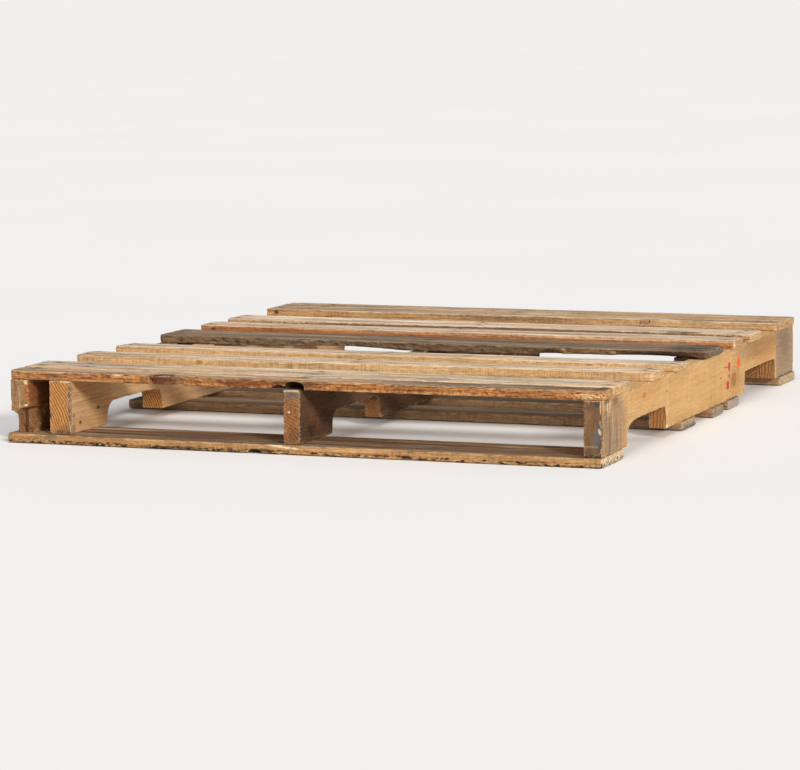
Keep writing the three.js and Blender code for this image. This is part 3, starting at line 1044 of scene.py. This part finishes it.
# Each board: changes to BOARD_SHAPE, changes to WOOD_DEFAULTS, and patches by the way they face.
BOARDS = {
    "top_lead_board_front": (
        dict(
            nail_shares=(0.6, 0.85), wear=2.1, wear_noise=1.4, corner=7,
            bites=[(506, 18.5, 26, 14.6), (479, 14, 10, 7), (261, 5, 2.6, 16)],
            chips=[(0.08, 9, 6)], cracks=[(0.62, 300, 900, 2.2, 1.6), (0.3, 0, 240, 2.4, 1.6)],
            knots=[(276, 0, 17, 22)], pith=(90, -46),
        ),
        dict(
            seed=11, early=0xDC9852, late=0x8A4E22, tint=0xAC6832, tint_amount=0.8, saw=0.5,
            saw_colour=0x602E12, mottle=0.85, grit=0.36, edge_grain=0.9, saw_lines=(8, 0.5, 0.5),
            light_streaks=0.35, grey_light=0xDCC2A2, grey_dark=0x806852, contrast=0.5,
            dark_streaks=0.85, smear=0.8, smear_scale=(15, 44, 44),
        ),
        dict(front=[
            (300, 7, 34, 9, 0x6C381E, 0.55, 0.6), (258, 9, 2.2, 7, DIRT_AND_SHADE, 0.95, 0.2, 0.25, 1.4),
            (308, 12, 7, 4, BLUE_GREY, 0.7, 0.4, 0.4), (500, 10, 44, 12, 0x40281A, 0.6, 0.4),
            (420, 8, 70, 7, 0x703E22, 0.45, 0.8, 0.6),
            (196, 14, 7, 1.6, PALE_SPLINTER, 0.8, 0.3, 0.3), (86, 8, 10, 5, BLUE_GREY, 0.5, 0.5),
            (700, 8, 120, 5, 0x784222, 0.4, 0.8, 0.6), (420, 8, 40, 9, 0x7A3E1A, 0.6, 0.7),
            (985, 9, 30, 4, 0xF0BE80, 0.8, 0.8, 0.3, 1.2),
            (1000, 4, 18, 2.4, 0xFADCAA, 0.8, 0.8, 0.3), (900, 8, 80, 9, 0x864A22, 0.5, 0.7),
        ], up=[
            (330, 20, 60, 5, DIRT_AND_SHADE, 0.4, 0.8), (480, 32, 190, 14, 0xE2CEB2, 0.65, 0.8),
            (640, 14, 120, 5, 0x78624C, 0.4, 0.8), (860, 28, 180, 26, 0x5C442E, 0.8, 0.8),
        ]),
    ),
    "top_lead_board_rear": (
        dict(
            cracks=[(0.34, 0, 400, 2.2, 1.6), (0.7, 500, 1000, 2.4, 1.8)], thin=0.3, bow=0.3,
            wear=1.9, pith=(30, -60),
        ),
        dict(
            TAN_TOP, seed=12, grey_dark=0xA08870, contrast=0.36, smear=0.75,
            smear_scale=(15, 44, 44),
        ),
        dict(up=[
            (130, 60, 90, 12, 0x705C4A, 0.6, 0.7), (420, 40, 110, 9, 0x645446, 0.5, 0.8),
            (660, 68, 150, 10, 0xB0926C, 0.6, 0.8), (900, 30, 90, 14, 0x96826C, 0.6, 0.7),
        ]),
    ),
    "top_board_2": (
        dict(corner=8, wear=2, pith=(-20, -55), cracks=[(0.55, 0, 300, 2, 1.4)]),
        dict(TAN_TOP, seed=13, light_streaks=0.8, edge_grain=0.55, saw_lines=(5, 0.1, 0.45)),
        dict(up=[
            (80, 30, 60, 12, 0x806C56, 0.6, 0.7), (520, 60, 160, 12, 0xC4A074, 0.5, 0.8, 0.6),
        ], front=[
            (230, 9, 6, 4, 0x8C5632, 0.6, 0.4), (1012, 10, 7, 4, PALE_SPLINTER, 0.4, 0.5),
        ]),
    ),
    "top_board_3": (
        dict(corner=10, wear=2.4, pith=(120, -40), drop=(0.3, 3, 3, 5.4), knots=[(640, 0.6, 9, 7)]),
        dict(TAN_TOP, seed=14, edge_grain=0.6, saw_lines=(7, 0.3, 0.3)),
        dict(up=[
            (60, 40, 50, 16, 0x8A6C4C, 0.6, 0.7), (560, 45, 220, 14, 0x96826C, 0.4, 0.8, 0.6),
        ], front=[
            (640, 5, 190, 4, 0xDEB06E, 0.6, 0.7),
        ]),
    ),
    "top_board_4": (
        dict(
            corner=9, end_wear=3, wear=2.6, wear_noise=1.6, thin=0.1, cup=0.2, bow=0.2,
            drop=(0, 2.2, 0, 1), rises=[(200, 470, 2.8), (650, 1090, 3.4)],
            front_wane=dict(depth=3.6, run=60, start=-0.5, full=0.6, rag=2.2, low=True),
            rear_wane=dict(depth=3, run=90, rag=1.4), bite_shade=0.3,
            bites=[(362, 90, 16, 4), (738, 24, 12, 9), (929, 75, 16, 9)],
            cracks=[(0.3, 120, 550, 3, 2), (0.64, 450, 1000, 3, 2)], pith=(50, 60),
        ),
        dict(
            seed=15, early=0x9E7A54, late=0x604228, tint=0x745438, tint_amount=0.8,
            grey_light=0xB29676, grey_dark=0x64503E, weather_all=0.25, mottle=0.6, saw=0.3,
            edge_colour=0x34241A, edge_dark=0.9, edge_light=0.35, edge_light_colour=0xB0987A,
            end=0x786C60, end_late=0x3E322A, end_amount=0.85, contrast=0.42, edge_grain=0.6,
            saw_lines=(21, 1.3, 0.75), saw_colour=0x342418, light_streaks=0.3,
            light_colour=0xAA9C8A, dark_streaks=0.8, streak_colour=0x2C221C, relief=2.2,
        ),
        dict(up=[
            (780, 50, 200, 26, 0x7A6A5C, 0.6, 0.7), (980, 54, 40, 50, 0x3C3430, 0.7, 0.7),
            (330, 40, 140, 16, 0x706862, 0.7, 0.8), (500, 80, 180, 14, 0x685644, 0.6, 0.8),
        ], front=[
            (940, 8, 84, 12, 0x5C3C22, 0.85, 0.4, 0.25), (806, 8, 50, 9, 0xA67C4E, 0.7, 0.5, 0.25),
            (766, 11, 5, 4, 0xD0B086, 0.8, 0.5, 0.3), (855, 8, 4, 9, 0xC4A074, 0.7, 0.6, 0.3, 0.6),
            (200, 9, 200, 12, 0x90785E, 0.65, 0.6, 0.4), (560, 8, 170, 12, 0x846A50, 0.5, 0.6, 0.4),
        ]),
    ),
    "top_board_5": (
        dict(corner=5, pith=(40, -34), front_wane=dict(depth=2.2, run=160, rag=0.8, low=True)),
        dict(TAN_TOP, seed=16, early=0xD2A068, late=0x966236, tint=0xB07A48, tint_amount=0.7),
        dict(front=[
            (520, 8, 560, 20, 0xCC7032, 0.65, 0.4, 0.3),
            # The two pale lines near the top of the front edge are painted highlights.
            (820, 12.5, 240, 2.6, 0xEECEA4, 0.85, 0.4, 0.35),
            (380, 12, 200, 2.4, 0xE4BA88, 0.7, 0.6, 0.4), (28, 8, 5, 4, DIRT_AND_SHADE, 0.7, 0.4, 0.4),
            (700, 3, 320, 3, 0x703A1E, 0.75, 0.5),
        ], right=[
            (8, 8, 5, 9, PALE_SPLINTER, 0.8, 0.5, 0.4),
        ]),
    ),
    "top_board_6": (
        dict(corner=9, wear=2.2, pith=(-10, -80), knots=[(895, 0.1, 25, 9)]),
        dict(
            TAN_TOP, seed=17, early=0xE8C494, contrast=0.28, dark_streaks=0.45, knot_core=0x583E2A,
            knot_colour=0x967650,
        ),
        dict(front=[
            # Painted shade over the whole front edge.
            (560, 7, 470, 11, 0x705032, 0.8, 0.5, 0.25),
        ], up=[
            (300, 30, 160, 12, 0x967E64, 0.5, 0.8),
        ]),
    ),
    "top_board_7": (
        dict(
            corner=8, pith=(20, -36),
            cracks=[
                (0.3, 350, 1000, 2.6, 2.4), (0.5, 500, 1000, 2.6, 2.4),
                (0.74, 0, 500, 2.2, 1.8),
            ],
            knots=[(778, 0, 19, 14)],
        ),
        dict(
            TAN_TOP, seed=18, early=0xCEA06C, grey_light=0xDEC4A6, grey_dark=0x8C725A,
            contrast=0.46, dark_streaks=0.8, smear=0.75, smear_scale=(12, 38, 38),
            knot_colour=0xBE8E60, knot_core=0x845836, knot_halo=0.3,
        ),
        dict(up=[
            (780, 60, 300, 4, 0xE0AC62, 0.75, 0.7), (700, 92, 330, 3.5, 0xD6A460, 0.65, 0.8),
            (860, 24, 160, 12, 0x846C54, 0.65, 0.8), (460, 112, 260, 10, 0x967C62, 0.6, 0.8),
            (120, 90, 100, 12, 0x806852, 0.6, 0.8), (240, 50, 200, 14, 0x9E8468, 0.6, 0.8),
        ], front=[
            (500, 10, 110, 6, 0x78624E, 0.6, 0.7), (880, 8, 120, 9, 0xE2B886, 0.75, 0.7),
            (22, 9, 5, 4, DIRT_AND_SHADE, 0.8, 0.4, 0.4), (778, 13, 1.6, 4, DIRT_AND_SHADE, 0.9, 0.2, 0.3),
        ]),
    ),
    "bottom_lead_board_front": (
        dict(
            wear=1.8, bites=[(441, 13, 9, 8), (492, 8, 3, 5)], cracks=[(0.14, 460, 620, 1.2, 1.4)],
            pith=(70, -50),
        ),
        dict(
            TAN_TOP, seed=21, early=0xD2A268, late=0x926034, tint=0xA67848, grey_light=0x967C62,
            grey_dark=0x4E3C2E, contrast=0.28, weather_up=0.9, mould=3, end=0xF0DAB6,
            end_amount=0.85,
        ),
        dict(front=[
            (487, 13, 16, 3.4, PALE_SPLINTER, 0.85, 0.8, 0.4, 1.6),
            (450, 4, 22, 4, DIRT_AND_SHADE, 0.8, 0.6, 0.4), (79, 12, 12, 5, BLUE_GREY, 0.55, 0.5),
            (300, 3, 60, 3, DIRT_AND_SHADE, 0.8, 0.8),
        ]),
    ),
    "bottom_board_2": (
        dict(pith=(10, -44), corner=4),
        dict(GREY_INSIDE, seed=22, end=0xA68E70, end_amount=0.8),
        dict(front=[
            (960, 3, 60, 4, BLUE_GREY, 0.7, 0.5),
        ], right=[
            (40, 2.5, 50, 3.4, 0x545C68, 0.8, 0.5, 0.4), (50, 12, 40, 4, 0xBEA078, 0.5, 0.7),
        ]),
    ),
    "bottom_board_3": (
        dict(pith=(70, -40), corner=4),
        dict(GREY_INSIDE, seed=23, end=0xA0968A, end_amount=0.85),
        dict(front=[(900, 8, 140, 9, 0x8C5E38, 0.7, 0.5, 0.4)]),
    ),
    "bottom_board_4": (
        dict(pith=(30, 50), corner=4),
        dict(GREY_INSIDE, seed=24, end=0xC4BAAA, end_amount=0.9),
        dict(front=[(900, 8, 140, 9, 0x4E3E32, 0.75, 0.5, 0.4)]),
    ),
    "bottom_lead_board_rear": (
        dict(pith=(60, -30), corner=5),
        dict(GREY_INSIDE, seed=25, early=0xCCA87C, end=0xDEC49C, end_amount=0.8),
        {},
    ),
}

BROWN_STRINGER = dict(
    grain="y", early=0xB28252, late=0x704626, tint=0x8C603A, end=0xB08A60, end_late=0x603E26,
    weather_up=0.3, grey_light=0x967E62, grey_dark=0x564432, contrast=0.28, ring=5.5,
)
PALE_STRINGER = dict(
    grain="y", early=0xD4AA70, late=0xBC8A52, tint=0xC89A60, tint_amount=0.7, end=0xD89E60,
    end_late=0x925A2E, weather_up=0.2, weather_all=0, contrast=0.1, fibre=0.12, grit=0.1,
    mottle=0.08, ring_contrast=0.25, saw=0.14, dark_streaks=0.1, ring=6,
)

# Each stringer: changes to STRINGER_SHAPE, changes to WOOD_DEFAULTS, and patches.
STRINGERS = {
    "stringer_left": (
        dict(
            notches=[((26, 26), (8, 8)), ((20, 20), (20, 20))],
            tear=dict(notch=219, height=27, end=15, rag=3.4, seed=77),
            broken_end=dict(
                line=[(0, 35), (6, 36), (9, 33), (14, 30), (21, 40), (38, 42)],
                arris=(33, 14), back=14, slope=2, shift=6,
            ),
            wear=2, end_rag=1.2, pith=(30, 20),
        ),
        dict(BROWN_STRINGER, seed=31, weather_all=0.2),
        dict(front=[
            (13, 62, 24, 34, 0x9E7A52, 0.75, 0.6), (10, 70, 2, 16, 0x70543A, 0.6, 0.6, 0.5, 0.3),
            (20, 54, 2, 18, 0xCEB48C, 0.5, 0.7, 0.5, 0.3),
            (35, 62, 4, 34, 0xA0562A, 0.9, 0.3, 0.25), (16, 12, 26, 17, 0x8E5E36, 0.8, 0.5, 0.4),
            (34, 84, 5, 4, 0xF4D6A6, 0.95, 0.2, 0.3), (33, 46, 3, 2, 0xF0D6B4, 0.9, 0.2, 0.3),
        ], right=[
            # The thin orange line 41 up is a painted highlight along the lit top edge of the
            # split-off ledge.
            (20, 64, 26, 24, 0x96522A, 0.7, 0.5), (80, 41, 90, 1.8, 0xDC8440, 0.85, 0.3, 0.4),
            (110, 66, 90, 26, 0x744626, 0.6, 0.5), (70, 14, 90, 20, 0x7C4E2C, 0.6, 0.5),
        ]),
    ),
    "repair_stringer_left": (
        dict(
            notches=[((30, 30), (20, 30)), ((24, 24), (24, 24))], pith=(-45, -150), wear=1.6,
            knots=[(37, 16, 4, 3), (104, 33, 4.5, 3), (560, 50, 12, 9)],
        ),
        dict(
            PALE_STRINGER, seed=32, early=0xD8B082, late=0xAC7A50, end=0xC88846, end_late=0x602E12,
            contrast=0.16, ring_contrast=0.4, ring=4.6, end_amount=0.85, end_rings=0.95, wander=1.6,
        ),
        dict(front=[
            (37.5, 50, 2, 44, DIRT_AND_SHADE, 0.85, 0.9, 0.4), (24, 3, 16, 4, DIRT_AND_SHADE, 0.7, 0.9),
            (30, 8, 10, 8, 0x806044, 0.6, 0.5), (1, 30, 3, 4, DIRT_AND_SHADE, 0.85, 0.4, 0.4),
            (30, 87, 9, 1.6, 0xE8C89C, 0.8, 0.4, 0.4),
        ], right=[
            (2, 44, 4, 52, BLUE_GREY, 0.75, 0.8, 0.4), (14, 30, 5, 4, 0x784C2A, 0.6, 0.6),
            (12, 8, 7, 9, 0x866E54, 0.7, 0.7), (24, 62, 12, 1.6, 0xB26E38, 0.7, 0.5, 0.5, 0.4),
            (70, 50, 70, 1.4, 0xAA703E, 0.6, 0.6, 0.5, -0.2),
        ]),
    ),
    "stringer_centre": (
        dict(
            notches=[((24, 24), (24, 24)), ((24, 24), (24, 24))], pith=(-70, -40), wear=2,
            knots=[(60, 30, 12, 9)],
        ),
        dict(
            BROWN_STRINGER, seed=33, early=0x5A422C, late=0x342216, tint=0x3C2A1E, end=0xB07440,
            ring=4.6, end_amount=0.8, end_rings=0.8,
        ),
        dict(front=[
            (14, 80, 20, 5, 0x706862, 0.85, 0.5, 0.4), (12, 86.5, 18, 2, 0xCEB898, 0.85, 0.4, 0.3),
            (10, 52, 1.8, 1.8, PALE_SPLINTER, 0.9, 0.1, 0.3), (20, 16, 12, 12, 0x604630, 0.5, 0.6),
        ], right=[
            (50, 20, 16, 12, DIRT_AND_SHADE, 0.75, 0.7), (96, 40, 22, 16, DIRT_AND_SHADE, 0.6, 0.7, 0.5, 0.6),
            (70, 60, 50, 24, 0x6E4E32, 0.6, 0.6),
        ]),
    ),
    "half_stringer_right": (
        dict(notches=[((20, 20), (20, 20)), ((20, 20), (20, 20))], pith=(-60, 60)),
        dict(
            # The end colour is darkened as painted shade, for an end that stands in shadow inside
            # the notch.
            BROWN_STRINGER, seed=34, early=0xCEA06C, end=0x9E6C3E, end_late=0x3E2414,
            end_amount=0.85, end_rings=0.6,
        ),
        dict(front=[
            # The first patch is a painted shadow over the top of the front end.
            (14, 82, 18, 10, DIRT_AND_SHADE, 0.6, 0.6), (17, 22, 9, 12, 0xA85828, 0.7, 0.7),
            (18, 38, 10, 3, 0x281810, 0.8, 0.8, 0.5, 0.4),
            (6, 26, 2, 22, 0x362014, 0.75, 0.8, 0.5, 0.3),
            (20, 9, 6, 2.4, PALE_SPLINTER, 0.6, 0.6, 0.4), (8, 4, 12, 5, 0x603E26, 0.7, 0.6),
        ]),
    ),
    "stringer_right": (
        dict(
            notches=[((38, 24), (9, 10)), ((9, 10), (9, 9))],
            notch_rag=[(150, 190, 1.8), (340, 360, 1.2)], end_dents=[(23, 30, 6.5, 22, -0.3, 4)],
            pith=(20, -120), wear=1.3,
            knots=[(788, 32, 13, 10), (437, 39, 2.4, 2), (234, 70, 8, 4), (365, 61, 4, 2.4)],
        ),
        dict(
            PALE_STRINGER, seed=35, end=0xAA7442, end_late=0x4E2C16, end_amount=0.9, end_rings=0.8,
            knot_halo=0.35, knot_core=0x784E2C, knot_colour=0xB07A46,
        ),
        dict(right=[
            (66, 34, 66, 58, 0x967A5E, 0.85, 0.3, 0.3),
            (70, 66, 22, 22, 0xB08454, 0.6, 0.5, 0.5, 0.5), (74, 82, 14, 7, 0x603E24, 0.6, 0.6),
            (46, 34, 4, 30, 0x68584A, 0.6, 0.7, 0.5, 0.3),
            (26, 60, 3, 24, 0x70563E, 0.6, 0.8, 0.5, 0.2),
            (34, 74, 3, 12, 0xE8CCA0, 0.75, 0.7, 0.4, 0.7),
            (46, 76, 3, 12, 0xE8CCA0, 0.75, 0.7, 0.4, -0.6), (30, 85, 14, 4, 0x4A3626, 0.7, 0.7),
            (44, 14, 3, 14, 0x5C5C60, 0.7, 0.7, 0.4, 0.2),
            (64, 16, 3, 16, 0x5C5C60, 0.65, 0.7, 0.4, 0.2), (104, 30, 26, 34, 0xBE9668, 0.5, 0.7),
            (62, 40, 3, 34, 0xC4AA8A, 0.6, 0.7, 0.5, 0.25),
            (84, 24, 5, 26, BLUE_GREY, 0.65, 0.7, 0.5, 0.2),
            (104, 20, 4, 20, BLUE_GREY, 0.45, 0.7, 0.5, 0.3), (2, 44, 4.5, 60, DIRT_AND_SHADE, 0.7, 0.5),
            (362, 3, 9, 4, PALE_SPLINTER, 0.8, 0.8, 0.4, 0.5),
            (234, 72, 60, 13, 0xCC965C, 0.5, 0.6, 0.6), (368, 50, 1.6, 44, 0xF0D4A4, 0.5, 0.4),
            (500, 52, 1.4, 40, 0xF0D4A4, 0.3, 0.4), (612, 40, 1.4, 40, 0xECCE9C, 0.35, 0.4),
            (662, 52, 2.2, 34, 0xA4703E, 0.5, 0.4, 0.5, 0.8),
            (640, 18, 2.2, 16, 0xA4703E, 0.5, 0.4, 0.5, -1.6),
            (706, 24, 2.4, 24, 0xA4703E, 0.5, 0.4, 0.5, -2),
            (792, 34, 44, 24, 0xB0804E, 0.55, 0.6, 0.6),
            (818, 44, 3.2, 24, 0x966438, 0.5, 0.4, 0.5, -1.2),
            (980, 74, 150, 20, 0x9C7046, 0.75, 0.5, 0.4), (850, 74, 50, 12, 0xAA8C68, 0.5, 0.6),
            (1030, 52, 60, 10, 0xBC8450, 0.6, 0.6, 0.6),
            (1152, 44, 66, 90, 0x9E846A, 0.9, 0.06, 0.05),
            (1150, 60, 40, 30, 0x7A624A, 0.6, 0.9, 0.6),
            (820, 58.5, 10, 10.5, ORANGE_PAINT, 1, 0.35, 0.1, 0.2),
            (756, 58.5, 7.5, 8.5, RED_PAINT, 0.95, 0.4, 0.1),
            (736, 59, 12, 2, RED_PAINT, 0.8, 0.5, 0.2, 1.5),
            (748.5, 26, 9.5, 7.8, RED_PAINT, 0.95, 0.4, 0.1, 0.1),
            (700, 44, 7, 1.6, RED_PAINT, 0.8, 0.3, 0.2),
            (756, 42, 7, 2.6, RED_PAINT, 0.85, 0.3, 0.2),
            (786, 41.5, 15, 1.5, RED_PAINT, 0.6, 0.5, 0.2, 1),
        ], front=[
            (14, 44, 60, 90, 0x6E5238, 0.88, 0.1, 0.1),
            (9, 62, 5, 22, 0x8E6844, 0.6, 0.8, 0.5, 0.3), (24, 84, 9, 5, 0x424042, 0.85, 0.6, 0.4),
            (10, 78, 6, 5, 0x584636, 0.6, 0.7), (23, 30, 7, 22, 0x625E5C, 0.85, 0.4, 0.25, -0.3),
            # These two pale spots are painted highlights at the edge of the hollow.
            (25, 40, 2, 5, 0xD8C8B2, 0.85, 0.4, 0.3, 0.5),
            (27, 50, 1.6, 7, 0xCEBAA0, 0.8, 0.4, 0.3, 0.5),
            (12, 16.5, 11, 1.8, 0xA88E6E, 0.5, 0.8, 0.5, 0.1),
            (12, 8, 12, 7, 0x684E36, 0.7, 0.6, 0.4), (14, 1.5, 18, 2, DIRT_AND_SHADE, 0.8, 0.6, 0.4),
            (28, 80, 1.4, 10, 0xE2CCAA, 0.7, 0.6, 0.4),
        ]),
    ),
}


# ---------------------------------------------------------------- building the pallet

WIDE_BOARD = 100


def place_nails(rng):
    """Two nails, or three in a wide board, at each crossing: centres of the heads by CAD nail."""
    placed = {}
    for board, stringer in itertools.product(BOARDS, STRINGERS):
        node = f"nail_{board}_{stringer}"
        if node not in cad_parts:
            continue
        on_top = board.startswith("top")
        low, high = [corner.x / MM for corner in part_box(stringer)]
        place, shape = BoardPlace(board), BOARDS[board][0]
        shares = (0.17, 0.5, 0.82) if place.width > WIDE_BOARD else (0.27, 0.74)
        heads = []
        for share in shape.get("nail_shares", shares):
            x = (low + high) / 2 + (high - low) / 2 * rng.uniform(-0.45, 0.45)
            y = place.front(x) + place.width * (share + rng.uniform(-0.04, 0.04))
            u, v = place.to_local(x, y)
            drops = shape.get("drop", BOARD_SHAPE["drop"])
            drop = corner_blend(drops, u / place.length, v / place.width)
            z = place.z1 - HEAD_SINK - drop if on_top else place.z0 + HEAD_SINK
            heads.append((x, y, z))
        placed[node] = (board, on_top, heads)
    return placed


def build_nails(placed, material, rng):
    for node, (_, on_top, heads) in placed.items():
        points, faces = [], []
        for head in heads:
            new_points, new_faces = nail_points(head, on_top, rng)
            first = sum(len(p) for p in points)
            points.append(new_points)
            faces += [tuple(first + n for n in face) for face in new_faces]
        add_piece(node, "_steel", np.concatenate(points), faces, {}, material)


rng = np.random.default_rng(4)
nails = place_nails(rng)
for board, (shape, look, patches) in BOARDS.items():
    heads = [(x, y) for owner, _, spots in nails.values() if owner == board for x, y, z in spots]
    build_board(board, shape, look, patches, heads)
for stringer, (shape, look, patches) in STRINGERS.items():
    build_stringer(stringer, shape, look, patches)
build_nails(nails, nail_material(), rng)


# ---------------------------------------------------------------- stage, light and camera

FLOOR_HALF = 60.0
FLOOR_TONES = ((0.86, 0.855, 0.85, 1.0), (0.9, 0.9, 0.895, 1.0))
SKY = (0.97, 0.98, 1.0, 1.0)
SKY_FILL = 0.38
BACKDROP = (0.881, 0.869, 0.855, 1.0)
EYE = Vector((1.992, -5.400, 0.739))
AIM = Vector((-0.053, 0.0, 0.040))
LENS = 148.0
SENSOR = 36.0
ROLL = math.radians(-0.5)


def build_floor():
    s = Shader("pale_floor")
    cloud = s.noise(s.coordinate("Object"), (0.8, 0.8, 0.8), 2.0, 0.5, 1.0)
    material = s.surface({
        "Base Color": s.mix(cloud, *FLOOR_TONES),
        "Roughness": 0.9,
        "Specular IOR Level": 0.1,
    })
    mesh = bpy.data.meshes.new("floor")
    corners = [(x * FLOOR_HALF, y * FLOOR_HALF, 0) for x, y in ((-1, -1), (1, -1), (1, 1), (-1, 1))]
    mesh.from_pydata(corners, [], [(0, 1, 2, 3)])
    mesh.materials.append(material)
    floor = new_object("floor", mesh)


def build_world():
    """A dim even sky for fill, seen by the camera as a backdrop of the floor's own brightness."""
    world = bpy.data.worlds.new("studio")
    world.use_nodes = True
    tree = world.node_tree
    fill = tree.nodes["Background"]
    fill.inputs["Color"].default_value = SKY
    fill.inputs["Strength"].default_value = SKY_FILL
    backdrop = tree.nodes.new("ShaderNodeBackground")
    backdrop.inputs["Color"].default_value = BACKDROP
    rays = tree.nodes.new("ShaderNodeLightPath")
    choose = tree.nodes.new("ShaderNodeMixShader")
    tree.links.new(rays.outputs["Is Camera Ray"], choose.inputs[0])
    tree.links.new(fill.outputs[0], choose.inputs[1])
    tree.links.new(backdrop.outputs[0], choose.inputs[2])
    tree.links.new(choose.outputs[0], tree.nodes["World Output"].inputs["Surface"])
    bpy.context.scene.world = world


def build_sun(name, direction, strength, softness, colour):
    light = bpy.data.lights.new(name, "SUN")
    light.energy = strength
    light.angle = math.radians(softness)
    light.color = colour
    lamp = new_object(name, light)
    lamp.rotation_mode = "QUATERNION"
    lamp.rotation_quaternion = Vector(direction).to_track_quat("Z", "Y")


def build_camera():
    data = bpy.data.cameras.new("camera")
    data.lens = LENS
    data.sensor_width = SENSOR
    data.clip_end = 200.0
    camera = new_object("camera", data)
    camera.location = EYE
    camera.rotation_mode = "QUATERNION"
    camera.rotation_quaternion = (EYE - AIM).to_track_quat("Z", "Y") @ Quaternion((0, 0, 1), ROLL)
    bpy.context.scene.camera = camera


build_floor()
build_world()
build_sun("key", (0.68, -0.60, 0.40), 2.35, 12, (1.0, 0.96, 0.91))
build_sun("overhead", (0.15, -0.25, 1.0), 1.15, 45, (1.0, 0.99, 0.98))
build_camera()
bpy.context.scene.view_settings.view_transform = "Standard"
